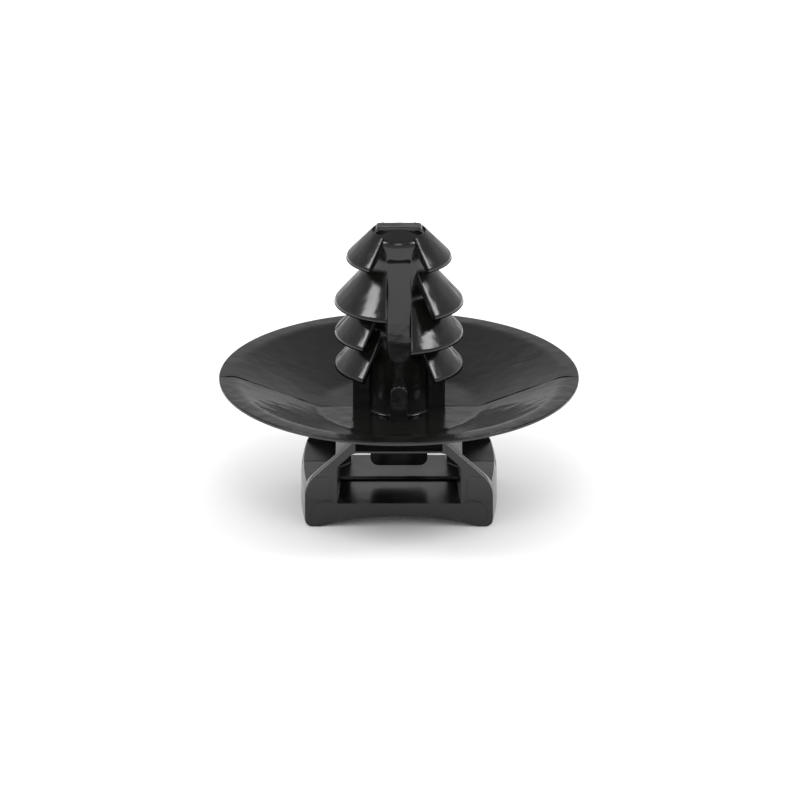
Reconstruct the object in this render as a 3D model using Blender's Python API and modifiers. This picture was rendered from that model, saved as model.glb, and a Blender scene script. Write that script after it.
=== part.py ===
# Fir tree push mount: one moulded nylon piece with a finned stem, a dished umbrella and a strap saddle.
# Metres, +Z up. The origin is under the middle of the saddle, on the surface that its feet stand on.
# The front of the saddle faces -Y. The outside is the same front and back, about the mould's split at
# y = 0. The passage through the saddle is wider in front and narrows towards the back.

import math

import bmesh
import bpy
from mathutils import Matrix

MM = 0.001

# Saddle, from its feet up
SADDLE_WIDTH = 12.5 * MM       # across the front face
SADDLE_DEPTH = 8.8 * MM
SIDE_BULGE = 0.28 * MM         # how far each side swells at mid depth
CORNER_R = 0.5 * MM            # outer bottom corners of the feet
SHOULDER_R = 1.9 * MM
SHOULDER_SLOPE = math.radians(43)
NECK_WIDTH = 6.34 * MM         # top of the saddle, where it meets the umbrella
NECK_RISE = 0.6 * MM           # how far the saddle runs up into the umbrella, whose underside rises
NECK_TAPER = 0.1 * MM          # how much narrower each side of the neck gets on the way up
NECK_RECESS = 0.8 * MM         # how far the neck's front and back stand behind the saddle's faces
RECESS_WIDTH = 5.8 * MM
RECESS_LIP = 0.12 * MM         # of the roof, under the recess
BUNDLE_R = 19.0 * MM           # hollow of the feet, which sits on a cable bundle
BUNDLE_RISE = 0.75 * MM
SILL_HEIGHT = 1.64 * MM
PASSAGE_HEIGHT = 3.6 * MM
MOUTH_WIDTH = 8.25 * MM        # the passage at the front face
PASSAGE_WIDTH = 7.9 * MM       # and at the end of its front half
CHAMBER_WIDTH = 8.4 * MM       # its back half starts wider
CHAMBER_END = 1.5 * MM         # behind mid depth
BACK_WIDTH = 6.4 * MM          # and narrows to this
BACK_START = 2.8 * MM
BACK_TOP_WIDTH = 5.0 * MM
BACK_DROP = 0.5 * MM           # the roof is this much lower at the back face
PASSAGE_TOP_WIDTH = 6.1 * MM
SILL_STEP = 0.2 * MM           # the back half's floor starts higher and falls to the sill at the back
ROOF = 0.6 * MM
TONGUE_WIDTH = 3.8 * MM
TONGUE_DEPTH = 0.8 * MM
TONGUE_SET_BACK = 0.05 * MM    # its front face, behind mid depth
TONGUE_CLEAR = 0.98 * MM       # tip of the tongue above the sill
TONGUE_R = 0.55 * MM
STEP_RUN = 0.05 * MM           # the step at mid depth is this long, front to back
STRAP_DEPTH = 0.65 * MM        # shoulder straps beside the open shoulders
ROOF_WIDTH = 8.4 * MM
SHOULDER_SILL = 1.3 * MM       # lower end of the shoulder opening above the sill

# Umbrella
RIM_R = 12.0 * MM
LIP_WIDTH = 1.13 * MM
RIM_THICK = 0.25 * MM
DISH_DEPTH = 2.1 * MM
FLOOR_R = 5.33 * MM
FLOOR_THICK = 1.05 * MM
WALL_THICK = 0.75 * MM         # straight down, where the wall leaves the floor

# Stem
CORE_R = 2.07 * MM
RIB_R = 3.07 * MM
RIB_WIDTH = 1.17 * MM
RIB_TOP = 0.5 * MM             # top of the front and back ribs above the rim
WEB_R = 2.35 * MM
WEB_WIDTH = 1.6 * MM
WEB_START = 1.8 * MM           # above the rim
WEB_END = 9.0 * MM
TIP_HEIGHT = 10.8 * MM         # top of the bar across the tip, above the rim
TIP_BAR_LENGTH = 3.1 * MM
TIP_BAR_STEP = 0.08 * MM       # how far the bar stands over the middle of the cap
CAP_DROP = 0.5 * MM            # the cap slopes this far down to the core's side
CAP_FLAT_R = 0.6 * MM

# Fins, above the rim
FIN_R = 4.27 * MM
TOP_FIN_R = 3.48 * MM
FIRST_FIN = 1.1 * MM
FIN_PITCH = 2.25 * MM
LOWER_FINS = 3
FIN_SLOPE = math.radians(41)   # from the axis
TOP_FIN_SLOPE = math.radians(43.6)
TOP_FIN_STEP = 0.03 * MM       # the top fins meet the core this far under the cap's edge
TOP_FIN_INNER_R = 1.75 * MM    # the top fins run on past the cap's edge, beside the ends of the bar
FIN_THICK = 0.5 * MM
FIN_EDGE = 0.2 * MM
GAP_HALF_ANGLE = math.radians(34)
LEFT_LONG_FIN = 2              # this fin runs on to the web on its left
RIGHT_LONG_FIN = 1             # and this one on its right
LONG_FIN_LAP = 0.04 * MM       # how far a long fin laps the web

# Steps along round shapes
RIM_STEPS = 72
FIN_STEPS = 48
CORE_STEPS = 40
CORE_TURN = math.radians(0.75) # keeps the core's facets out of line with the fins'
ARC_STEPS = 6
FOOT_STEPS = 12
DEPTH_STEPS = 6
SHARP_ANGLE = math.radians(28)
OVERLAP = 0.25 * MM            # how far one form runs into the next
MERGE = 0.000001

# Heights above the feet
ROOF_Z = SILL_HEIGHT + PASSAGE_HEIGHT
BASE_Z = ROOF_Z + ROOF
FLOOR_Z = BASE_Z + FLOOR_THICK
RIM_Z = FLOOR_Z + DISH_DEPTH


def clear_scene():
    for obj in list(bpy.data.objects):
        bpy.data.objects.remove(obj, do_unlink=True)


def new_collection(name):
    collection = bpy.data.collections.new(name)
    bpy.context.scene.collection.children.link(collection)
    return collection


def add_object(name, mesh, collection):
    obj = bpy.data.objects.new(name, mesh)
    collection.objects.link(obj)
    return obj


def hide(obj):
    """A form that is joined to the body or cut from it doesn't show by itself."""
    obj.hide_render = True
    obj.display_type = "WIRE"
    return obj


def turned(name, profile, steps, collection):
    """A solid turned about the Z axis from (radius, height) points that run down its outer side."""
    mesh = bpy.data.meshes.new(name)
    points = [(radius, 0.0, height) for radius, height in profile]
    edges = [(i, i + 1) for i in range(len(points) - 1)]
    if profile[0][0] > 0.0:
        edges.append((len(points) - 1, 0))
    mesh.from_pydata(points, edges, [])
    obj = add_object(name, mesh, collection)
    screw = obj.modifiers.new("turn", "SCREW")
    screw.axis = "Z"
    screw.steps = steps
    screw.render_steps = steps
    screw.use_merge_vertices = True
    screw.merge_threshold = MERGE
    return obj


def face_outwards(body):
    bmesh.ops.recalc_face_normals(body, faces=body.faces)
    if body.calc_volume(signed=True) < 0.0:
        bmesh.ops.reverse_faces(body, faces=body.faces)


def extruded(name, outline, half_depth, matrix, collection):
    """A flat closed outline, thickened both ways along its own Z, then placed by a matrix."""
    curve = bpy.data.curves.new(name, "CURVE")
    curve.dimensions = "2D"
    curve.fill_mode = "BOTH"
    curve.extrude = half_depth
    spline = curve.splines.new("POLY")
    spline.points.add(len(outline) - 1)
    for point, (x, y) in zip(spline.points, outline):
        point.co = (x, y, 0.0, 1.0)
    spline.use_cyclic_u = True
    guide = add_object(name + "_outline", curve, collection)
    graph = bpy.context.evaluated_depsgraph_get()
    mesh = bpy.data.meshes.new_from_object(guide.evaluated_get(graph))
    bpy.data.objects.remove(guide, do_unlink=True)
    body = bmesh.new()
    body.from_mesh(mesh)
    bmesh.ops.remove_doubles(body, verts=body.verts, dist=MERGE)
    body.transform(matrix)
    face_outwards(body)
    body.to_mesh(mesh)
    body.free()
    return add_object(name, mesh, collection)


def upright():
    """Turns an outline drawn as (x, height) to stand in the XZ plane."""
    return Matrix.Rotation(math.pi / 2, 4, "X")


def lifted(height):
    return Matrix.Translation((0.0, 0.0, height))


def box(name, low, high, collection):
    body = bmesh.new()
    bmesh.ops.create_cube(body, size=1.0)
    for vert in body.verts:
        for axis in range(3):
            middle = (low[axis] + high[axis]) / 2
            vert.co[axis] = middle + vert.co[axis] * (high[axis] - low[axis])
    mesh = bpy.data.meshes.new(name)
    body.to_mesh(mesh)
    body.free()
    return add_object(name, mesh, collection)


def boolean(target, other, operation):
    step = target.modifiers.new(operation.lower() + "_" + other.name, "BOOLEAN")
    step.operation = operation
    step.solver = "EXACT"
    step.object = hide(other)


def arc(centre, radius, start, end, steps=ARC_STEPS):
    """Points on an arc, ends included, as (x, height)."""
    points = []
    for i in range(steps + 1):
        angle = start + (end - start) * i / steps
        points.append((centre[0] + radius * math.cos(angle), centre[1] + radius * math.sin(angle)))
    return points


def mirrored(points):
    """A right half, bottom to top, and its mirror image, top to bottom."""
    return points + [(-x, z) for x, z in reversed(points)]


def saddle_outline():
    """Right half of the saddle seen from the front: hollow foot, corner, side, shoulder and neck."""
    half = SADDLE_WIDTH / 2
    hollow_z = BUNDLE_RISE - BUNDLE_R
    foot_angle = math.acos((BUNDLE_R - BUNDLE_RISE) / BUNDLE_R)
    foot = arc((0.0, hollow_z), BUNDLE_R, math.pi / 2, math.pi / 2 - foot_angle, FOOT_STEPS)[1:]
    corner = arc((half - CORNER_R, CORNER_R), CORNER_R, -math.pi / 2, 0.0)
    # The shoulder's straight slope runs down from the neck, and a round joins it to the upright side.
    turn = math.pi / 2 - SHOULDER_SLOPE
    bend_x = half - SHOULDER_R
    top_x = bend_x + SHOULDER_R * math.cos(turn)
    neck_half = NECK_WIDTH / 2
    bend_z = BASE_Z - (top_x - neck_half) * math.tan(SHOULDER_SLOPE) - SHOULDER_R * math.sin(turn)
    shoulder = arc((bend_x, bend_z), SHOULDER_R, 0.0, turn)
    neck = [(neck_half, BASE_Z), (neck_half - NECK_TAPER, BASE_Z + NECK_RISE)]
    return mirrored(foot + corner + shoulder + neck)


def lofted(name, sections, collection):
    """A closed solid through outlines of equal length, each given as (y, [(x, height), ...])."""
    body = bmesh.new()
    rings = []
    for y, outline in sections:
        rings.append([body.verts.new((x, y, z)) for x, z in outline])
    count = len(rings[0])
    for near, far in zip(rings, rings[1:]):
        for i in range(count):
            j = (i + 1) % count
            body.faces.new((near[i], near[j], far[j], far[i]))
    body.faces.new(rings[0])
    body.faces.new(list(reversed(rings[-1])))
    bmesh.ops.triangulate(body, faces=body.faces)
    face_outwards(body)
    mesh = bpy.data.meshes.new(name)
    body.to_mesh(mesh)
    body.free()
    return add_object(name, mesh, collection)


def saddle_solid(tools):
    """The outline carried from front to back, each section a little wider towards mid depth."""
    outline = saddle_outline()
    half_depth = SADDLE_DEPTH / 2
    sections = []
    for i in range(DEPTH_STEPS + 1):
        y = -half_depth + SADDLE_DEPTH * i / DEPTH_STEPS
        swell = 1.0 + SIDE_BULGE * (1.0 - (y / half_depth) ** 2) / (SADDLE_WIDTH / 2)
        sections.append((y, [(x * swell, z) for x, z in outline]))
    return lofted("saddle", sections, tools)


def roof_under(x):
    """Height of the roof's underside, which slants down like the shoulders outside its flat middle."""
    return ROOF_Z - max(0.0, x - PASSAGE_TOP_WIDTH / 2) * math.tan(SHOULDER_SLOPE)


def passage_outline(width, top_width, sill, roof):
    """The way through, with its upper corners slanted like the shoulders."""
    half = width / 2
    top = top_width / 2
    corner = roof - (half - top) * math.tan(SHOULDER_SLOPE)
    return mirrored([(half, sill), (half, corner), (top, roof)])


def passage_sections():
    """From the front mouth to mid depth, then the wider chamber, which narrows towards the back."""
    face = SADDLE_DEPTH / 2
    stations = [
        (-face - OVERLAP, MOUTH_WIDTH, PASSAGE_TOP_WIDTH),
        (-face, MOUTH_WIDTH, PASSAGE_TOP_WIDTH),
        (-STEP_RUN / 2, PASSAGE_WIDTH, PASSAGE_TOP_WIDTH),
        (STEP_RUN / 2, CHAMBER_WIDTH, PASSAGE_TOP_WIDTH),
        (CHAMBER_END, CHAMBER_WIDTH, PASSAGE_TOP_WIDTH),
        (BACK_START, BACK_WIDTH, BACK_TOP_WIDTH),
        (face, BACK_WIDTH, BACK_TOP_WIDTH),
        (face + OVERLAP, BACK_WIDTH, BACK_TOP_WIDTH),
    ]
    sections = []
    for y, width, top_width in stations:
        behind = min(1.0, max(0.0, y / face))
        rise = SILL_STEP * (1.0 - behind) if y > 0.0 else 0.0
        outline = passage_outline(width, top_width, SILL_HEIGHT + rise, ROOF_Z - BACK_DROP * behind)
        sections.append((y, outline))
    return sections


def cut_recesses(saddle, tools):
    """Above the lip of the roof, the neck stands back from the front and back faces."""
    half = RECESS_WIDTH / 2
    for side, name in ((-1, "front"), (1, "back")):
        face = side * SADDLE_DEPTH / 2
        reach = sorted((face - side * NECK_RECESS, face + side * OVERLAP))
        high = BASE_Z + NECK_RISE + OVERLAP
        cutter = box(name + "_recess", (-half, reach[0], ROOF_Z + RECESS_LIP), (half, reach[1], high), tools)
        boolean(saddle, cutter, "DIFFERENCE")


def cut_shoulders(saddle, tools):
    """Each shoulder is open between its straps, from its sill up to the roof, and into the passage."""
    inner = BACK_WIDTH / 2 - OVERLAP
    outer = SADDLE_WIDTH / 2 + SIDE_BULGE + OVERLAP
    edge = ROOF_WIDTH / 2
    low = SILL_HEIGHT + SHOULDER_SILL
    side = [(inner, low), (outer, low), (outer, BASE_Z), (edge, BASE_Z)]
    side += [(edge, roof_under(edge) - STEP_RUN), (inner, roof_under(inner) - STEP_RUN)]
    for hand, name in ((-1, "left"), (1, "right")):
        outline = [(x * hand, z) for x, z in side]
        depth = SADDLE_DEPTH / 2 - STRAP_DEPTH
        opening = extruded(name + "_shoulder_opening", outline, depth, upright(), tools)
        boolean(saddle, opening, "DIFFERENCE")


def keep_tongue(passage, tools):
    """The tongue hangs from the roof behind mid depth, with round lower corners."""
    half = TONGUE_WIDTH / 2
    low = SILL_HEIGHT + TONGUE_CLEAR
    corner = arc((half - TONGUE_R, low + TONGUE_R), TONGUE_R, -math.pi / 2, 0.0)
    outline = mirrored(corner + [(half, ROOF_Z + ROOF / 2)])
    place = Matrix.Translation((0.0, TONGUE_SET_BACK + TONGUE_DEPTH / 2, 0.0)) @ upright()
    tongue = extruded("tongue", outline, TONGUE_DEPTH / 2, place, tools)
    boolean(passage, tongue, "DIFFERENCE")


def make_saddle(tools):
    saddle = saddle_solid(tools)
    passage = lofted("passage", passage_sections(), tools)
    keep_tongue(passage, tools)
    boolean(saddle, passage, "DIFFERENCE")
    cut_shoulders(saddle, tools)
    cut_recesses(saddle, tools)
    return saddle


def umbrella_profile():
    """From the middle of the floor, up the dish and over the lip, down the rim and back underneath."""
    lip_r = RIM_R - LIP_WIDTH
    wall_run = lip_r - FLOOR_R
    slope = DISH_DEPTH / wall_run
    under_r = FLOOR_R - (FLOOR_THICK - WALL_THICK) / slope
    return [
        (0.0, FLOOR_Z),
        (FLOOR_R, FLOOR_Z),
        (lip_r, RIM_Z),
        (RIM_R, RIM_Z),
        (RIM_R, RIM_Z - RIM_THICK),
        (lip_r, RIM_Z - RIM_THICK),
        (under_r, BASE_Z),
        (0.0, BASE_Z),
    ]


def fin_height(row):
    return RIM_Z + FIRST_FIN + FIN_PITCH * row


def cap_edge():
    """Height where the cap's slope meets the core's side."""
    return RIM_Z + TIP_HEIGHT - TIP_BAR_STEP - CAP_DROP


def top_fin_height():
    """The top fins leave the core just under the cap's edge."""
    return cap_edge() - TOP_FIN_STEP - (TOP_FIN_R - CORE_R) / math.tan(TOP_FIN_SLOPE)


def fin_profile(radius, inner, height, slope):
    """A ring that slopes up from its thin edge to its inner radius."""
    rise = (radius - inner) / math.tan(slope)
    drop = FIN_THICK / math.sin(slope)
    return [
        (inner, height + rise),
        (radius, height),
        (radius, height - FIN_EDGE),
        (inner, height + rise - drop),
    ]


def gap_outline(long_left, long_right):
    """Seen from above: the wedge between two fins at the front, or up to the web beside a long fin."""
    far = 2 * FIN_R
    side_x = far * math.sin(GAP_HALF_ANGLE)
    side_y = -far * math.cos(GAP_HALF_ANGLE)
    web = WEB_WIDTH / 2 - LONG_FIN_LAP
    right = [(web, -far), (web, 0.0)] if long_right else [(side_x, side_y), (0.0, 0.0)]
    left = [(-web, 0.0), (-web, -far)] if long_left else [(0.0, 0.0), (-side_x, side_y)]
    outline = right + left
    if outline[1] == outline[2]:
        outline.pop(1)
    return outline


def cut_gaps(fin, name, outline, low, high, tools):
    """The same gap at the front and, mirrored about y = 0, at the back."""
    middle = (low + high) / 2
    half = (high - low) / 2
    for side, word in ((1, "front"), (-1, "back")):
        shape = [(x, y * side) for x, y in outline]
        cutter = extruded(name + "_" + word + "_gap", shape, half, lifted(middle), tools)
        boolean(fin, cutter, "DIFFERENCE")


def make_fins(body, tools):
    for row in range(LOWER_FINS):
        height = fin_height(row)
        name = "fin_row_%d" % (row + 1)
        profile = fin_profile(FIN_R, CORE_R - OVERLAP, height, FIN_SLOPE)
        fin = turned(name, profile, FIN_STEPS, tools)
        outline = gap_outline(row == LEFT_LONG_FIN, row == RIGHT_LONG_FIN)
        cut_gaps(fin, name, outline, height - FIN_PITCH, height + 2 * FIN_PITCH, tools)
        boolean(body, fin, "UNION")
    height = top_fin_height()
    profile = fin_profile(TOP_FIN_R, TOP_FIN_INNER_R, height, TOP_FIN_SLOPE)
    top = turned("top_fin_row", profile, FIN_STEPS, tools)
    cut_gaps(top, "top_row", gap_outline(False, False), height - FIN_PITCH, height + 2 * FIN_PITCH, tools)
    boolean(body, top, "UNION")


def core_profile():
    """The core runs from inside the floor to its shallow cap."""
    top = RIM_Z + TIP_HEIGHT - TIP_BAR_STEP
    foot = FLOOR_Z - FLOOR_THICK / 2
    return [(0.0, top), (CAP_FLAT_R, top), (CORE_R, cap_edge()), (CORE_R, foot), (0.0, foot)]


def make_tip_bar(body, tools):
    """A bar as thick as the ribs lies across the cap, from left to right."""
    half = RIB_WIDTH / 2
    reach = TIP_BAR_LENGTH / 2
    low = cap_edge() - OVERLAP
    bar = box("tip_bar", (-reach, -half, low), (reach, half, RIM_Z + TIP_HEIGHT), tools)
    boolean(body, bar, "UNION")


def make_ribs(body, tools):
    """Side ribs reach the lowest fins. The front and back ribs stop lower, with round tops."""
    foot = FLOOR_Z - FLOOR_THICK / 2
    half = RIB_WIDTH / 2
    low_fin = fin_height(0) + (FIN_R - RIB_R) / math.tan(FIN_SLOPE) - FIN_THICK / 2
    side = box("side_ribs", (-RIB_R, -half, foot), (RIB_R, half, low_fin), tools)
    boolean(body, side, "UNION")
    top = RIM_Z + RIB_TOP
    outline = mirrored([(half, foot)] + arc((0.0, top - half), half, 0.0, math.pi / 2)[:-1])
    boolean(body, extruded("front_rib", outline, RIB_R, upright(), tools), "UNION")


def make_web(body, tools):
    half = WEB_WIDTH / 2
    low = RIM_Z + WEB_START
    lower_end = arc((0.0, low + half), half, -math.pi / 2, 0.0)[1:]
    outline = mirrored(lower_end + [(half, RIM_Z + WEB_END)])
    boolean(body, extruded("web", outline, WEB_R, upright(), tools), "UNION")


def finish_shading(body):
    """Applies the joins and cuts, then shades round surfaces smooth and keeps the edges crisp."""
    graph = bpy.context.evaluated_depsgraph_get()
    mesh = bpy.data.meshes.new_from_object(body.evaluated_get(graph))
    mesh.shade_smooth()
    mesh.set_sharp_from_angle(angle=SHARP_ANGLE)
    body.modifiers.clear()
    body.data = mesh


def nylon():
    material = bpy.data.materials.new("moulded_black_nylon")
    material.use_nodes = True
    shader = material.node_tree.nodes["Principled BSDF"]
    shader.inputs["Base Color"].default_value = (0.012, 0.012, 0.011, 1.0)
    shader.inputs["Roughness"].default_value = 0.28
    shader.inputs["Metallic"].default_value = 0.0
    return material


def main():
    clear_scene()
    parts = new_collection("fir_tree_push_mount")
    tools = new_collection("forms_and_cutters")
    body = turned("push_mount", umbrella_profile(), RIM_STEPS, parts)
    core = turned("core", core_profile(), CORE_STEPS, tools)
    core.rotation_euler.z = CORE_TURN
    boolean(body, core, "UNION")
    make_fins(body, tools)
    make_ribs(body, tools)
    make_web(body, tools)
    make_tip_bar(body, tools)
    boolean(body, make_saddle(tools), "UNION")
    finish_shading(body)
    body.data.materials.clear()
    body.data.materials.append(nylon())


main()
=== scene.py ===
import math

import bmesh
import bpy
import numpy as np
from mathutils import Matrix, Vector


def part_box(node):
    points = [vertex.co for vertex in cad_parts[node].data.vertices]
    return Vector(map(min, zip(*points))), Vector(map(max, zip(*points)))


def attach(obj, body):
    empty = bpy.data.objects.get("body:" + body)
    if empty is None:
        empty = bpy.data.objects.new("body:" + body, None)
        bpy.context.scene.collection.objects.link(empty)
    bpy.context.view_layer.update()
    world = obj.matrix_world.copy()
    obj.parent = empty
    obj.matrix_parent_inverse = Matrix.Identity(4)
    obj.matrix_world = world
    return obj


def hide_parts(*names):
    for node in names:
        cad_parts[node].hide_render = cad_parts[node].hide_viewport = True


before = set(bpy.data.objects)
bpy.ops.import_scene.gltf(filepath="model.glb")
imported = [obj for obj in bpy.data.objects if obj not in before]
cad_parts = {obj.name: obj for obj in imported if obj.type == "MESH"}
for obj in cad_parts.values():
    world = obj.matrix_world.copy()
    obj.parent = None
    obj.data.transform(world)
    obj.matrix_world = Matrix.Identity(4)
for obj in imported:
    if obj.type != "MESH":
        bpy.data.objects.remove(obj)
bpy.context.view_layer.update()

# Fir tree push mount: one piece of moulded black nylon, seen from the front and a little above.
# Shapes are worked out in millimetres, in the frame's own axes, and put into the meshes in metres.

mm = 0.001
nodeName = "push_mount"
low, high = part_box(nodeName)

# What the solid fixes: its height and its widest radius
topZ = high[2] / mm
rimR = high[0] / mm

scene = bpy.context.scene


# Camera

shot = {
    "elevation": 21.4,      # degrees above the horizon
    "distance": 1000.0,
    "frameWidth": 53.33,    # mm across the picture at the piece
    "sensor": 36.0,
    "aim": (0.07, 0.0, 7.32),
    "nearest": 0.01,        # m
    "farthest": 10.0,
}


def addCamera():
    data = bpy.data.cameras.new("camera")
    data.sensor_width = shot["sensor"]
    data.lens = shot["sensor"] * shot["distance"] / shot["frameWidth"]
    data.clip_start = shot["nearest"]
    data.clip_end = shot["farthest"]
    camera = bpy.data.objects.new("camera", data)
    tilt = math.radians(shot["elevation"])
    aimX, aimY, aimZ = shot["aim"]
    back = shot["distance"] * math.cos(tilt)
    rise = shot["distance"] * math.sin(tilt)
    camera.location = (aimX * mm, (aimY - back) * mm, (aimZ + rise) * mm)
    camera.rotation_euler = (math.pi / 2 - tilt, 0.0, 0.0)
    scene.collection.objects.link(camera)
    scene.camera = camera


addCamera()
print("camera placed")


# Meshes from grids

meshing = {
    "merge": 1e-7,           # m, points this close become one
    "flatten": 1e-8,         # m, edges this short go
    "areaWeight": 80,        # how much a large face outweighs the small ones beside it
}


def faceOutwards(build):
    bmesh.ops.recalc_face_normals(build, faces=build.faces)
    if build.calc_volume(signed=True) < 0.0:
        bmesh.ops.reverse_faces(build, faces=build.faces)


def toMesh(name, points, faces):
    # points in mm; quads and end caps come as index lists
    mesh = bpy.data.meshes.new(name)
    mesh.from_pydata((np.asarray(points) * mm).tolist(), [], faces)
    build = bmesh.new()
    build.from_mesh(mesh)
    bmesh.ops.remove_doubles(build, verts=build.verts, dist=meshing["merge"])
    bmesh.ops.dissolve_degenerate(build, edges=build.edges, dist=meshing["flatten"])
    faceOutwards(build)
    build.to_mesh(mesh)
    build.free()
    return mesh


def gridFaces(rows, columns, wrapRows):
    # quads of a grid that is closed along its columns, and along its rows where asked
    rowCount = rows if wrapRows else rows - 1
    i, j = np.meshgrid(np.arange(rowCount), np.arange(columns), indexing="ij")
    nextI = (i + 1) % rows
    nextJ = (j + 1) % columns
    here = i * columns
    beyond = nextI * columns
    quads = np.stack([here + j, here + nextJ, beyond + nextJ, beyond + j], axis=-1)
    return quads.reshape(-1, 4).tolist()


def ringStack(name, rings):
    # a closed solid through rings of equal length, shape (ring, point, 3), with a flat cap at each end
    count, size = rings.shape[:2]
    faces = gridFaces(count, size, False)
    faces.append(list(range(size)))
    faces.append(list(range((count - 1) * size, count * size)))
    return toMesh(name, rings.reshape(-1, 3), faces)


def turnedMesh(name, profile, steps):
    # a profile of (radius, height) from pole to pole, carried round the Z axis
    profile = np.asarray(profile)
    angle = np.linspace(0.0, 2 * np.pi, steps, endpoint=False)
    radius = profile[:, None, 0]
    points = np.stack([
        radius * np.cos(angle),
        radius * np.sin(angle),
        np.broadcast_to(profile[:, None, 1], (len(profile), steps)),
    ], axis=-1)
    return toMesh(name, points.reshape(-1, 3), gridFaces(len(profile), steps, False))


def roundCorners(points, radii, steps=6):
    # each corner of a path is replaced by points on a quadratic curve that starts and ends
    # its radius away along both sides; a radius of 0 keeps the corner
    points = np.asarray(points, float)
    path = []
    for i, corner in enumerate(points):
        radius = radii[i]
        if radius == 0.0:
            path.append(corner)
            continue
        before = points[i - 1] - corner
        after = points[(i + 1) % len(points)] - corner
        start = corner + before / np.linalg.norm(before) * radius
        end = corner + after / np.linalg.norm(after) * radius
        t = np.linspace(0.0, 1.0, steps + 1)[:, None]
        path.extend((1 - t) ** 2 * start + 2 * t * (1 - t) * corner + t ** 2 * end)
    return np.array(path)


def inset(outline, distance):
    # a closed outline moved inwards along the normals of its points
    ahead = np.roll(outline, -1, axis=0) - outline
    behind = outline - np.roll(outline, 1, axis=0)
    ahead /= np.maximum(np.linalg.norm(ahead, axis=1, keepdims=True), 1e-9)
    behind /= np.maximum(np.linalg.norm(behind, axis=1, keepdims=True), 1e-9)
    normal = np.stack([-(ahead + behind)[:, 1], (ahead + behind)[:, 0]], axis=1)
    normal /= np.maximum(np.linalg.norm(normal, axis=1, keepdims=True), 1e-9)
    x, y = outline.T
    turn = np.sign(np.sum(x * np.roll(y, -1) - np.roll(x, -1) * y))
    return outline + normal * distance * turn


def edgeSteps(radius, steps=4):
    # how far in and how far along each ring of a rounded edge lies, from the cap to the side
    angle = np.linspace(0.0, np.pi / 2, steps + 1)
    return radius * (1 - np.sin(angle)), radius * (1 - np.cos(angle))


def slabMesh(name, outline, start, end, edge, place):
    # an outline carried along a line from start to end, with both rims rounded
    inward, along = edgeSteps(edge)
    rings = [place(inset(outline, a), start + b) for a, b in zip(inward, along)]
    rings += [place(inset(outline, a), end - b) for a, b in zip(inward[::-1], along[::-1])]
    return ringStack(name, np.array(rings))


def alongY(outline, depth):
    return np.column_stack([outline[:, 0], np.full(len(outline), depth), outline[:, 1]])


def alongX(outline, depth):
    return np.column_stack([np.full(len(outline), depth), outline[:, 0], outline[:, 1]])


def joinMeshes(name, meshes):
    # several closed forms in one piece
    build = bmesh.new()
    for mesh in meshes:
        build.from_mesh(mesh)
        bpy.data.meshes.remove(mesh)
    joined = bpy.data.meshes.new(name)
    build.to_mesh(joined)
    build.free()
    return joined


def evaluated(form):
    # the form's mesh after its modifiers; the form itself goes
    graph = bpy.context.evaluated_depsgraph_get()
    mesh = bpy.data.meshes.new_from_object(form.evaluated_get(graph))
    bpy.data.objects.remove(form, do_unlink=True)
    return mesh


def shaded(mesh, sharp):
    # large faces keep their own normals and the small rounds between them shade smooth
    mesh.shade_smooth()
    mesh.set_sharp_from_angle(angle=math.radians(sharp))
    form = bpy.data.objects.new("shaded", mesh)
    scene.collection.objects.link(form)
    weighted = form.modifiers.new("weighted", "WEIGHTED_NORMAL")
    weighted.keep_sharp = True
    weighted.weight = meshing["areaWeight"]
    return evaluated(form)


def addPiece(name, mesh, material, sharp=40.0):
    mesh = shaded(mesh, sharp)
    mesh.materials.append(material)
    piece = bpy.data.objects.new(name, mesh)
    scene.collection.objects.link(piece)
    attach(piece, "root")
    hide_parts(nodeName)
    print("made", name, len(mesh.polygons))
    return piece


# Material

def linear(hexColour):
    values = [int(hexColour[i:i + 2], 16) / 255 for i in (0, 2, 4)]
    return [v / 12.92 if v <= 0.04045 else ((v + 0.055) / 1.055) ** 2.4 for v in values] + [1.0]


def addNode(tree, kind, inputs=None, **settings):
    # inputs go by name or number: a node, by its first output, or a socket is linked; a value is set
    node = tree.nodes.new(kind)
    for key, value in settings.items():
        setattr(node, key, value)
    for key, value in (inputs or {}).items():
        if isinstance(value, bpy.types.Node):
            value = value.outputs[0]
        if isinstance(value, bpy.types.NodeSocket):
            tree.links.new(value, node.inputs[key])
        else:
            node.inputs[key].default_value = value
    return node


nylon = {
    "colour": "0e0e0d",
    "worn": "141413",
    "ior": 1.53,
    "specular": 0.5,
    "roughBack": 0.34,       # the satin half of the tool
    "roughFront": 0.16,      # its polished half
    "roughSpread": 0.06,
    "halfSoft": 0.05,        # mm, either side of the split, where one finish turns into the other
    "flowSize": 3.0,         # mm, slow drift of the gloss
    "flowRange": (0.3, 0.7), # the part of the noise that the gloss follows
    "grainSize": 0.12,       # mm, the tool's fine spark texture
    "grainDepth": 0.0035,    # mm
    "sinkSize": 1.1,         # mm, faint hollows where the melt shrank
    "sinkDepth": 0.05,       # mm, on the stem and umbrella
    "sinkCalm": 0.15,        # and this share of it on the saddle
    "sinkFrom": (5.2, 6.4),  # mm, heights where the share grows to 1
    "splitEdge": (0.13, 0.1),        # mm, where the witness line of the tool's two halves fades in
    "splitRange": (0.35, 0.6),       # the part of the noise that makes it stronger and weaker
    "splitLeast": 0.35,
    "markX": 4.87,           # mm, round marks that the tool's pins left on the saddle's faces
    "markZ": 0.84,
    "markEdge": (0.94, 1.06),        # mm from the mark's middle
    "markDepth": 0.06,
    "surroundEdge": (4.47, 4.63),    # mm, the small step beside the window, to the left and right
    "surroundBottom": (1.6, 2.0),    # its lower end
    "surroundTop": (3.8, 3.3),       # and its upper end
    "faceEdge": (4.3, 4.34),         # mm, where the saddle's flat faces begin
}


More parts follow.
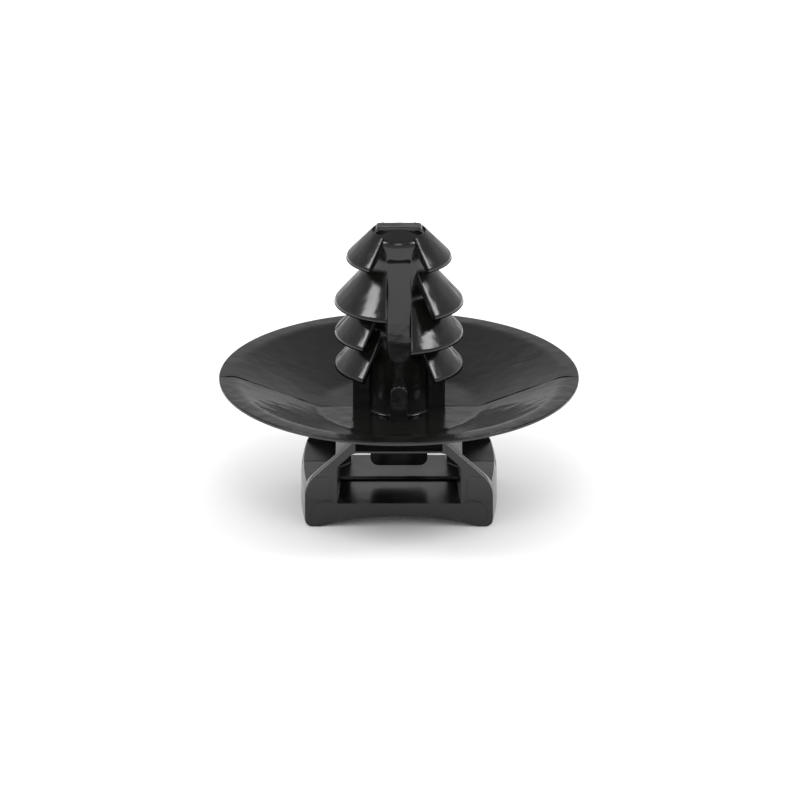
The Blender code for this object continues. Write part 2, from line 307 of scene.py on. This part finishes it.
def pinMarks(tree, x, y, z):
    # How high the saddle's faces stand. A mark is a step at a fixed distance from its middle, the
    # root of (|x| - markX) squared plus (z - markZ) squared. The step beside the window is at a
    # fixed |x|. Both are only on the faces in front and behind, where |y| is largest.
    side = addNode(tree, "ShaderNodeMath", {0: x}, operation="ABSOLUTE")
    depth = addNode(tree, "ShaderNodeMath", {0: y}, operation="ABSOLUTE")
    acrossX = addNode(tree, "ShaderNodeMath", {0: side, 1: nylon["markX"] * mm}, operation="SUBTRACT")
    acrossZ = addNode(tree, "ShaderNodeMath", {0: z, 1: nylon["markZ"] * mm}, operation="SUBTRACT")
    squareX = addNode(tree, "ShaderNodeMath", {0: acrossX, 1: acrossX}, operation="MULTIPLY")
    squareZ = addNode(tree, "ShaderNodeMath", {0: acrossZ, 1: acrossZ}, operation="MULTIPLY")
    squares = addNode(tree, "ShaderNodeMath", {0: squareX, 1: squareZ}, operation="ADD")
    away = addNode(tree, "ShaderNodeMath", {0: squares}, operation="SQRT")
    edges = []
    for value, key in ((away, "markEdge"), (side, "surroundEdge"), (z, "surroundBottom"),
                       (z, "surroundTop"), (depth, "faceEdge")):
        start, end = nylon[key]
        edges.append(addNode(tree, "ShaderNodeMapRange",
                             {"Value": value, "From Min": start * mm, "From Max": end * mm},
                             interpolation_type="SMOOTHSTEP"))
    mark, surround, bottom, top, onFace = edges
    beside = addNode(tree, "ShaderNodeMath", {0: bottom, 1: top}, operation="MULTIPLY")
    step = addNode(tree, "ShaderNodeMath", {0: surround, 1: beside}, operation="MULTIPLY")
    height = addNode(tree, "ShaderNodeMath", {0: mark, 1: step}, operation="ADD")
    return addNode(tree, "ShaderNodeMath", {0: height, 1: onFace}, operation="MULTIPLY")


def witnessLine(tree, y, flow):
    # 1 on the plane where the tool's halves met, stronger and weaker along its way
    depth = addNode(tree, "ShaderNodeMath", {0: y}, operation="ABSOLUTE")
    start, end = nylon["splitEdge"]
    near = addNode(tree, "ShaderNodeMapRange",
                   {"Value": depth, "From Min": start * mm, "From Max": end * mm},
                   interpolation_type="SMOOTHSTEP")
    weak, strong = nylon["splitRange"]
    strength = addNode(tree, "ShaderNodeMapRange",
                       {"Value": flow, "From Min": weak, "From Max": strong, "To Min": nylon["splitLeast"]})
    return addNode(tree, "ShaderNodeMath", {0: near, 1: strength}, operation="MULTIPLY")


def mouldedBlackNylon():
    # Nylon 6/6 straight from a steel tool: near-black, glossy, a trace warm, with a slow drift
    # in gloss where the melt cooled unevenly and a fine grain that only softens the highlights.
    material = bpy.data.materials.new("moulded_black_nylon")
    material.use_nodes = True
    tree = material.node_tree
    shader = tree.nodes["Principled BSDF"]
    shader.inputs["IOR"].default_value = nylon["ior"]
    place = addNode(tree, "ShaderNodeTexCoord").outputs["Object"]
    x, y, z = addNode(tree, "ShaderNodeSeparateXYZ", {"Vector": place}).outputs
    noises = []
    for key, detail in (("flowSize", 2.0), ("grainSize", 3.0), ("sinkSize", 1.0)):
        noises.append(addNode(tree, "ShaderNodeTexNoise",
                              {"Vector": place, "Scale": 1 / (nylon[key] * mm), "Detail": detail}))
    flow, grain, sink = noises

    # gloss: one finish in front of the split and one behind, and the drift on top
    half = addNode(tree, "ShaderNodeMapRange",
                   {"Value": y, "From Min": -nylon["halfSoft"] * mm, "From Max": nylon["halfSoft"] * mm,
                    "To Min": nylon["roughFront"], "To Max": nylon["roughBack"]})
    least, most = nylon["flowRange"]
    spread = addNode(tree, "ShaderNodeMapRange",
                     {"Value": flow, "From Min": least, "From Max": most,
                      "To Min": -nylon["roughSpread"], "To Max": nylon["roughSpread"]})
    rough = addNode(tree, "ShaderNodeMath", {0: half, 1: spread}, operation="ADD")
    tree.links.new(rough.outputs[0], shader.inputs["Roughness"])

    # colour
    tint = addNode(tree, "ShaderNodeMix",
                   {0: flow, 6: linear(nylon["colour"]), 7: linear(nylon["worn"])}, data_type="RGBA")
    tree.links.new(tint.outputs[2], shader.inputs["Base Color"])

    # the witness line takes the reflections away
    line = witnessLine(tree, y, flow)
    mirror = addNode(tree, "ShaderNodeMath", {0: line, 1: -nylon["specular"], 2: nylon["specular"]},
                     operation="MULTIPLY_ADD")
    tree.links.new(mirror.outputs[0], shader.inputs["Specular IOR Level"])

    # relief: pin marks, then sunk faces, calmer on the saddle, then the grain
    start, end = nylon["sinkFrom"]
    share = addNode(tree, "ShaderNodeMapRange",
                    {"Value": z, "From Min": start * mm, "From Max": end * mm, "To Min": nylon["sinkCalm"]},
                    interpolation_type="SMOOTHSTEP")
    hollows = addNode(tree, "ShaderNodeMath", {0: sink, 1: share}, operation="MULTIPLY")
    normal = None
    marks = pinMarks(tree, x, y, z)
    for height, key in ((marks, "markDepth"), (hollows, "sinkDepth"), (grain, "grainDepth")):
        inputs = {"Height": height, "Distance": nylon[key] * mm}
        if normal is not None:
            inputs["Normal"] = normal
        normal = addNode(tree, "ShaderNodeBump", inputs)
    tree.links.new(normal.outputs[0], shader.inputs["Normal"])
    return material


nylonMaterial = mouldedBlackNylon()


# Umbrella

umbrella = {
    "rimZ": topZ - 10.8,
    "lip": 1.13,
    "rimThick": 0.25,
    "dish": 2.1,
    "floorR": 5.33,
    "floorThick": 1.05,
    "wallThick": 0.75,
    "rounds": [0.0, 0.35, 0.3, 0.1, 0.12, 0.5, 0.5, 0.0],    # at the section's corners, in turn
    "steps": 288,
}
rimZ = umbrella["rimZ"]
floorZ = rimZ - umbrella["dish"]
baseZ = floorZ - umbrella["floorThick"]


def umbrellaMesh():
    # the dish's section, from the middle of its floor up the wall, over the lip and back underneath
    lipR = rimR - umbrella["lip"]
    slope = umbrella["dish"] / (lipR - umbrella["floorR"])
    underR = umbrella["floorR"] - (umbrella["floorThick"] - umbrella["wallThick"]) / slope
    thick = umbrella["rimThick"]
    corners = [
        (0.0, floorZ), (umbrella["floorR"], floorZ), (lipR, rimZ), (rimR, rimZ),
        (rimR, rimZ - thick), (lipR, rimZ - thick), (underR, baseZ), (0.0, baseZ),
    ]
    return turnedMesh("umbrella", roundCorners(corners, umbrella["rounds"]), umbrella["steps"])


# Stem

stem = {
    "coreR": 2.07,
    "footR": 0.28,           # round where the core meets the floor
    "footDip": 0.005,        # its outer edge runs this far into the floor
    "coreEnd": 0.3,          # the core ends this far over the umbrella's underside
    "barLength": 3.1,        # the bar across the tip
    "barSunk": 0.3,          # below the cap's edge
    "barRound": 0.3,
    "barEdge": 0.16,
    "barStep": 0.08,         # over the middle of the cap
    "capDrop": 0.5,          # from the cap's middle down to the core's side
    "capFlat": 0.6,
    "flatRound": 0.3,
    "capRound": 0.45,
    "ribR": 3.07,
    "ribWidth": 1.17,
    "ribTop": 0.5,           # above the rim
    "ribSunk": 0.4,          # into the floor
    "ribShort": 0.5,         # the side ribs end this far under the top of the lowest fins
    "ribEdge": 0.16,
    "webR": 2.35,
    "webWidth": 1.6,
    "webStart": 1.8,
    "webEnd": 9.0,
    "edge": 0.1,
    "steps": 96,
}

fins = {
    "radius": 4.27,
    "topRadius": 3.48,
    "first": 1.1,
    "pitch": 2.25,
    "rows": 3,
    "slope": 41.0,           # degrees from the axis
    "topSlope": 43.6,
    "topStep": 0.03,
    "topInner": 1.75,
    "lip": 0.22,
    "lipIn": 0.25,           # how far in from the lip the underside has its own thickness
    "thin": 0.8,             # share of the thickness there
    "thick": 0.5,
    "rootThick": 0.62,
    "rootRise": 0.305,       # the round over the fin's root starts this far up the core
    "lap": 0.25,             # how far a lower fin starts inside the core
    "edge": 0.09,
    "gap": 34.0,             # half the gap at the front and back, in degrees
    "webLap": 0.02,          # how far a long fin runs into the web
    "leftLong": 2,
    "rightLong": 1,
    "steps": 40,
}


capTop = topZ - stem["barStep"]
capEdge = capTop - stem["capDrop"]


def coreMesh():
    # the core's section, from the cap down its side to a round foot on the dish's floor
    foot = stem["footR"]
    core = stem["coreR"]
    corners = [
        (0.0, capTop), (stem["capFlat"], capTop), (core, capEdge), (core, floorZ),
        (core + foot, floorZ - stem["footDip"]), (core + foot, baseZ + stem["coreEnd"]),
        (0.0, baseZ + stem["coreEnd"]),
    ]
    radii = [0.0, stem["flatRound"], stem["capRound"], foot, 0.0, 0.0, 0.0]
    return turnedMesh("core", roundCorners(corners, radii), stem["steps"])


def tipBarMesh():
    half = stem["ribWidth"] / 2
    reach = stem["barLength"] / 2
    bottom = capEdge - stem["barSunk"]
    corners = [(reach, bottom), (reach, topZ), (-reach, topZ), (-reach, bottom)]
    outline = roundCorners(corners, [0.0, stem["barRound"], stem["barRound"], 0.0])
    return slabMesh("tipBar", outline, -half, half, stem["barEdge"], alongY)


def finProfile(radius, inner, height, slope, top):
    # a closed section, (radius, height): down the top, round the edge and back underneath to the core
    # and the inner radius; top holds the corners where the section starts, with their rounds
    tangent = math.tan(math.radians(slope))
    sine = math.sin(math.radians(slope))
    root = stem["coreR"]
    topRoot = height + (radius - root) / tangent
    thin = fins["thin"] * fins["thick"] / sine
    drop = fins["rootThick"] / sine
    lip = fins["lip"]
    edge = [
        ((radius, height), 0.14), ((radius, height - lip), 0.1),
        ((radius - fins["lipIn"], height + fins["lipIn"] / tangent - thin), 0.3),
        ((root, topRoot - drop), 0.2), ((inner, topRoot - drop - 0.1), 0.0),
    ]
    corners, radii = zip(*(top + edge))
    return roundCorners(corners, radii, 5)


def lowerProfile(height):
    # from inside the core, with a small round where the fin's top meets the core's side
    root = stem["coreR"]
    topRoot = height + (fins["radius"] - root) / math.tan(math.radians(fins["slope"]))
    inner = root - fins["lap"]
    rise = fins["rootRise"]
    top = [((inner, topRoot + rise + 0.005), 0.0), ((root, topRoot + rise), 0.0), ((root, topRoot), 0.28)]
    return finProfile(fins["radius"], inner, height, fins["slope"], top)


def topProfile():
    # past the cap's edge, up to the ends of the bar
    tangent = math.tan(math.radians(fins["topSlope"]))
    inner = fins["topInner"]
    height = capEdge - fins["topStep"] - (fins["topRadius"] - stem["coreR"]) / tangent
    crest = height + (fins["topRadius"] - inner) / tangent
    return finProfile(fins["topRadius"], inner, height, fins["topSlope"], [((inner, crest), 0.16)])


def lobeMesh(name, profile, startAngle, endAngle):
    # the section carried round the axis between two ends; each end is an angle or, for a long fin,
    # the plane that the web's side lies in. Both ends keep a small round along their edges.
    inward, along = edgeSteps(fins["edge"])
    middle = np.linspace(0.0, 1.0, fins["steps"] + 1)

    def ring(section, share, shift):
        radius = section[:, 0]
        a = startAngle(radius) * (1 - share) + endAngle(radius) * share
        x = radius * np.cos(a) - shift * np.sin(a)
        y = radius * np.sin(a) + shift * np.cos(a)
        return np.column_stack([x, y, section[:, 1]])

    rings = [ring(inset(profile, a), 0.0, b) for a, b in zip(inward[:-1], along[:-1])]
    firstShift = along[-1]
    for share in middle:
        rings.append(ring(profile, share, firstShift * (1 - 2 * share)))
    rings += [ring(inset(profile, a), 1.0, -b) for a, b in zip(inward[:-1][::-1], along[:-1][::-1])]
    return ringStack(name, np.array(rings))


def lobeEnds(side, longFin):
    # angles from the lobe's front end to its back end, going through +X or -X
    reach = math.pi / 2 - math.radians(fins["gap"])
    web = stem["webWidth"] / 2 - fins["webLap"]
    if longFin:
        def half(radius):
            return np.arccos(web / radius)
    else:
        def half(radius):
            return np.full_like(radius, reach)
    if side > 0:
        return lambda r: -half(r), lambda r: half(r)
    return lambda r: np.pi - half(r), lambda r: np.pi + half(r)


def finMeshes():
    meshes = []
    for row in range(fins["rows"]):
        profile = lowerProfile(rimZ + fins["first"] + fins["pitch"] * row)
        for side, longRow in ((1, fins["rightLong"]), (-1, fins["leftLong"])):
            start, end = lobeEnds(side, row == longRow)
            meshes.append(lobeMesh("lobe", profile, start, end))
    for side in (1, -1):
        start, end = lobeEnds(side, False)
        meshes.append(lobeMesh("lobe", topProfile(), start, end))
    return meshes


def archOutline(half, bottom, top, steps=10):
    # an upright strip with a round end at the top
    angle = np.linspace(0.0, np.pi, steps * 2 + 1)
    arch = np.column_stack([half * np.cos(angle), top - half + half * np.sin(angle)])
    return np.vstack([[half, bottom], arch, [-half, bottom]])


def ribMeshes():
    half = stem["ribWidth"] / 2
    foot = floorZ - stem["ribSunk"]
    finRise = (fins["radius"] - stem["ribR"]) / math.tan(math.radians(fins["slope"]))
    finFoot = rimZ + fins["first"] + finRise - stem["ribShort"]
    side = np.array([(half, foot), (half, finFoot), (-half, finFoot), (-half, foot)])
    front = archOutline(half, foot, rimZ + stem["ribTop"])
    return [
        slabMesh("sideRibs", side, -stem["ribR"], stem["ribR"], stem["edge"], alongX),
        slabMesh("frontRib", front, -stem["ribR"], stem["ribR"], stem["ribEdge"], alongY),
    ]


def webMesh():
    half = stem["webWidth"] / 2
    low = rimZ + stem["webStart"]
    outline = archOutline(half, -(rimZ + stem["webEnd"]), -low)
    outline[:, 1] *= -1
    return slabMesh("web", outline, -stem["webR"], stem["webR"], stem["edge"], alongY)


# Saddle

saddle = {
    "width": 12.5,
    "depth": 8.8,
    "bulge": 0.28,
    "cornerR": 0.5,
    "shoulderR": 1.9,
    "slope": 43.0,
    "neck": 6.34,
    "neckRise": 0.6,         # up into the umbrella
    "neckTaper": 0.1,
    "recess": 0.8,           # the neck's front and back stand this far behind the faces
    "recessWidth": 5.8,
    "recessLip": 0.12,
    "bundleR": 19.0,
    "bundleRise": 0.75,
    "sill": 1.64,
    "passage": 3.6,
    "mouthWidth": 8.25,      # the passage at the front face
    "passageWidth": 7.9,
    "chamberWidth": 8.4,     # behind mid depth, before it narrows towards the back
    "chamberEnd": 1.5,
    "backWidth": 6.4,
    "backStart": 2.8,
    "backDrop": 0.5,
    "passageTop": 6.1,
    "backTop": 5.0,
    "sillStep": 0.2,
    "stepHalf": 0.02,        # half the step's length, front to back
    "sillRound": 0.1,
    "roofRound": 0.3,
    "tongueWidth": 3.8,
    "tongueDepth": 0.8,
    "tongueBack": 0.05,      # its front face, behind mid depth
    "tongueClear": 0.98,
    "tongueR": 0.55,
    "strap": 0.65,
    "roofWidth": 8.4,
    "shoulderSill": 1.3,
    "openingLap": 0.25,      # how far a shoulder's opening runs into the passage
    "roofClear": 0.05,
    "past": 0.3,             # how far a cutter runs on past what it cuts
    "edge": 0.2,             # rounds on edges that are sharper than edgeAngle
    "edgeAngle": 30.0,
    "edgeSteps": 3,
    "weld": 0.002,
    "flatAngle": 0.4,        # degrees, faces that are flatter than this to each other become one
    "stations": 24,
}
roofZ = saddle["sill"] + saddle["passage"]
saddleSlope = math.tan(math.radians(saddle["slope"]))


def arcPoints(centre, radius, start, end, steps):
    angle = np.linspace(start, end, steps + 1)
    return np.column_stack([centre[0] + radius * np.cos(angle), centre[1] + radius * np.sin(angle)])


def bothHalves(points):
    points = np.asarray(points)
    return np.vstack([points, points[::-1] * [-1, 1]])


def saddleOutline():
    half = saddle["width"] / 2
    rise = saddle["bundleRise"]
    radius = saddle["bundleR"]
    footAngle = math.acos((radius - rise) / radius)
    # 0.01 keeps the hollow's first point off the middle, where its mirror image would meet it
    foot = arcPoints((0.0, rise - radius), radius, math.pi / 2 - 0.01, math.pi / 2 - footAngle, 20)
    cornerR = saddle["cornerR"]
    corner = arcPoints((half - cornerR, cornerR), cornerR, -math.pi / 2, 0.0, 10)
    turn = math.pi / 2 - math.radians(saddle["slope"])
    bendX = half - saddle["shoulderR"]
    neck = saddle["neck"] / 2
    topX = bendX + saddle["shoulderR"] * math.cos(turn)
    bendZ = baseZ - (topX - neck) * saddleSlope - saddle["shoulderR"] * math.sin(turn)
    shoulder = arcPoints((bendX, bendZ), saddle["shoulderR"], 0.0, turn, 14)
    neckSide = [[neck, baseZ], [neck - saddle["neckTaper"], baseZ + saddle["neckRise"]]]
    return bothHalves(np.vstack([foot, corner, shoulder, neckSide]))


def saddleBlank():
    # the front outline carried from front to back, a little wider towards mid depth
    outline = saddleOutline()
    half = saddle["depth"] / 2
    y = np.linspace(-half, half, saddle["stations"] + 1)
    swell = 1 + saddle["bulge"] * (1 - (y / half) ** 2) / (saddle["width"] / 2)
    rings = np.empty((len(y), len(outline), 3))
    rings[..., 0] = outline[None, :, 0] * swell[:, None]
    rings[..., 1] = y[:, None]
    rings[..., 2] = outline[None, :, 1]
    return rings


def roofUnder(x):
    return roofZ - max(0.0, x - saddle["passageTop"] / 2) * saddleSlope


def passageOutline(width, top, sill, drop):
    # upper corners slant like the shoulders, with small rounds
    half = width / 2
    low = roofZ - drop - (half - top / 2) * saddleSlope
    corners = bothHalves([(half, sill), (half, low), (top / 2, roofZ - drop)])
    sillRound = saddle["sillRound"]
    return roundCorners(corners, [sillRound] + [saddle["roofRound"]] * 4 + [sillRound], 3)


def passageRings():
    # from the front mouth to the step at mid depth, then the wider chamber that narrows to the back
    face = saddle["depth"] / 2
    sill = saddle["sill"]
    step = saddle["sillStep"]
    mouth = (saddle["mouthWidth"], saddle["passageTop"])
    front = (saddle["passageWidth"], saddle["passageTop"])
    chamber = (saddle["chamberWidth"], saddle["passageTop"])
    back = (saddle["backWidth"], saddle["backTop"])
    past = saddle["past"]
    near = saddle["stepHalf"]
    stations = [
        (-face - past, mouth), (-face, mouth), (-near, front), (near, chamber),
        (saddle["chamberEnd"], chamber), (saddle["backStart"], back), (face, back), (face + past, back),
    ]
    rings = []
    for y, widths in stations:
        behind = min(1.0, y / face)
        rise = step * (1 - behind) if y > 0 else 0.0
        rings.append(alongY(passageOutline(*widths, sill + rise, saddle["backDrop"] * max(0.0, behind)), y))
    return np.array(rings)


def prismRings(outline, start, end):
    return np.array([alongY(np.asarray(outline), start), alongY(np.asarray(outline), end)])


def formObject(name, rings):
    # a helper solid at a thousand times its size, where cuts are steadier
    mesh = ringStack(name, rings / mm)
    build = bmesh.new()
    build.from_mesh(mesh)
    bmesh.ops.triangulate(build, faces=build.faces)
    build.to_mesh(mesh)
    build.free()
    form = bpy.data.objects.new(name, mesh)
    scene.collection.objects.link(form)
    return form


def cut(target, cutter, operation="DIFFERENCE"):
    step = target.modifiers.new(operation.lower(), "BOOLEAN")
    step.operation = operation
    step.solver = "EXACT"
    step.object = cutter
    return cutter


def boxOutline(halfWidth, lowZ, highZ):
    return [(halfWidth, lowZ), (halfWidth, highZ), (-halfWidth, highZ), (-halfWidth, lowZ)]


def shoulderOutline(hand):
    inner = saddle["backWidth"] / 2 - saddle["openingLap"]
    outer = saddle["width"] / 2 + saddle["bulge"] + saddle["past"]
    edge = saddle["roofWidth"] / 2
    lowZ = saddle["sill"] + saddle["shoulderSill"]
    side = [(inner, lowZ), (outer, lowZ), (outer, baseZ), (edge, baseZ)]
    side += [(x, roofUnder(x) - saddle["roofClear"]) for x in (edge, inner)]
    return np.array(side) * [hand, 1]


def saddleMesh():
    half = saddle["depth"] / 2
    blank = formObject("saddleBlank", saddleBlank())
    passage = formObject("passage", passageRings())
    helpers = [passage]
    tongueHalf = saddle["tongueWidth"] / 2
    tongueLow = saddle["sill"] + saddle["tongueClear"]
    corner = arcPoints((tongueHalf - saddle["tongueR"], tongueLow + saddle["tongueR"]), saddle["tongueR"],
                       -math.pi / 2, 0.0, 8)
    tongue = bothHalves(np.vstack([corner, [[tongueHalf, roofZ + saddle["past"]]]]))
    near = saddle["tongueBack"]
    helpers.append(cut(passage, formObject("tongue", prismRings(tongue, near, near + saddle["tongueDepth"]))))
    cut(blank, passage)
    strap = half - saddle["strap"]
    for hand in (-1, 1):
        helpers.append(cut(blank, formObject("opening", prismRings(shoulderOutline(hand), -strap, strap))))
    recessTop = baseZ + saddle["neckRise"] + saddle["past"]
    recess = boxOutline(saddle["recessWidth"] / 2, roofZ + saddle["recessLip"], recessTop)
    for side in (-1, 1):
        ends = sorted((side * (half + saddle["past"]), side * (half - saddle["recess"])))
        helpers.append(cut(blank, formObject("recess", prismRings(recess, *ends))))
    mesh = evaluated(blank)
    for helper in helpers:
        bpy.data.objects.remove(helper, do_unlink=True)
    return softened(mesh)


def softened(mesh):
    # every sharp edge gets a small round, then the mesh goes back to its real size
    build = bmesh.new()
    build.from_mesh(mesh)
    faceOutwards(build)
    build.to_mesh(mesh)
    build.free()
    form = bpy.data.objects.new("softened", mesh)
    scene.collection.objects.link(form)
    weld = form.modifiers.new("weld", "WELD")
    weld.merge_threshold = saddle["weld"]
    flat = form.modifiers.new("flat", "DECIMATE")
    flat.decimate_type = "DISSOLVE"
    flat.angle_limit = math.radians(saddle["flatAngle"])
    bevel = form.modifiers.new("round", "BEVEL")
    bevel.width = saddle["edge"]
    bevel.segments = saddle["edgeSteps"]
    bevel.limit_method = "ANGLE"
    bevel.angle_limit = math.radians(saddle["edgeAngle"])
    result = evaluated(form)
    result.transform(Matrix.Scale(mm, 4))
    return result


addPiece("umbrella", umbrellaMesh(), nylonMaterial)
stemForms = [coreMesh(), tipBarMesh(), webMesh()] + ribMeshes() + finMeshes()
addPiece("stem", joinMeshes("stem", stemForms), nylonMaterial)
addPiece("saddle", saddleMesh(), nylonMaterial)
print("pieces made")


# Studio

studio = {
    "floor": "fefefe",
    "floorReach": 2000.0,    # mm, each way
    "floorDrop": 0.02,       # mm, under the feet
    "floorRough": 0.9,
    "horizon": 0.66,         # the backdrop, in the reflections
    "overhead": 0.3,         # the room above it, in the reflections
    "turn": (0.2, 0.75),     # between these heights of the view one turns into the other
    "fill": 1.02,            # what lights the piece softly from all round
    "lampAim": 10.0,         # mm, the height on the stem that the lamps point at
    "lamps": (
        # x, y, z, side, watts: a small softbox on each hand, high up, and a weak one over the front
        (-268.0, -56.0, 300.0, 120.0, 0.4),
        (268.0, -56.0, 300.0, 120.0, 0.4),
        (0.0, -300.0, 420.0, 160.0, 0.35),
    ),
}


def addWorld():
    # the camera, mirror rays and see-through rays see a light grey horizon that darkens overhead;
    # everything else is lit by an even fill
    world = bpy.data.worlds.new("studio")
    scene.world = world
    world.use_nodes = True
    tree = world.node_tree
    background = tree.nodes["Background"]
    background.inputs["Color"].default_value = (1.0, 1.0, 1.0, 1.0)
    path = addNode(tree, "ShaderNodeLightPath").outputs
    direct = addNode(tree, "ShaderNodeMath", {0: path["Is Camera Ray"], 1: path["Is Glossy Ray"]},
                     operation="MAXIMUM")
    seen = addNode(tree, "ShaderNodeMath", {0: direct, 1: path["Is Transmission Ray"]},
                   operation="MAXIMUM")
    heading = addNode(tree, "ShaderNodeTexCoord").outputs["Generated"]
    headingZ = addNode(tree, "ShaderNodeSeparateXYZ", {"Vector": heading}).outputs["Z"]
    start, end = studio["turn"]
    height = addNode(tree, "ShaderNodeMapRange",
                     {"Value": headingZ, "From Min": start, "From Max": end,
                      "To Min": studio["horizon"], "To Max": studio["overhead"]},
                     interpolation_type="SMOOTHSTEP")
    level = addNode(tree, "ShaderNodeMix", {0: seen, 2: studio["fill"], 3: height}, data_type="FLOAT")
    tree.links.new(level.outputs[0], background.inputs["Strength"])


def addFloor():
    reach = studio["floorReach"]
    mesh = toMesh("floor", [(-reach, -reach, 0), (reach, -reach, 0), (reach, reach, 0), (-reach, reach, 0)],
                  [[0, 1, 2, 3]])
    material = bpy.data.materials.new("studio_floor")
    material.use_nodes = True
    shader = material.node_tree.nodes["Principled BSDF"]
    shader.inputs["Base Color"].default_value = linear(studio["floor"])
    shader.inputs["Roughness"].default_value = studio["floorRough"]
    mesh.materials.append(material)
    floor = bpy.data.objects.new("floor", mesh)
    floor.location = (0.0, 0.0, -studio["floorDrop"] * mm)
    scene.collection.objects.link(floor)


def addLamps():
    for x, y, z, side, watts in studio["lamps"]:
        data = bpy.data.lights.new("softbox", "AREA")
        data.shape = "SQUARE"
        data.size = side * mm
        data.energy = watts
        lamp = bpy.data.objects.new("softbox", data)
        lamp.location = (x * mm, y * mm, z * mm)
        aim = np.array([-x, -y, studio["lampAim"] - z])
        lamp.rotation_euler = (math.acos(-aim[2] / np.linalg.norm(aim)), 0.0, math.atan2(-aim[0], aim[1]))
        scene.collection.objects.link(lamp)


addWorld()
addFloor()
addLamps()
scene.view_settings.view_transform = "Standard"
print("studio lit")
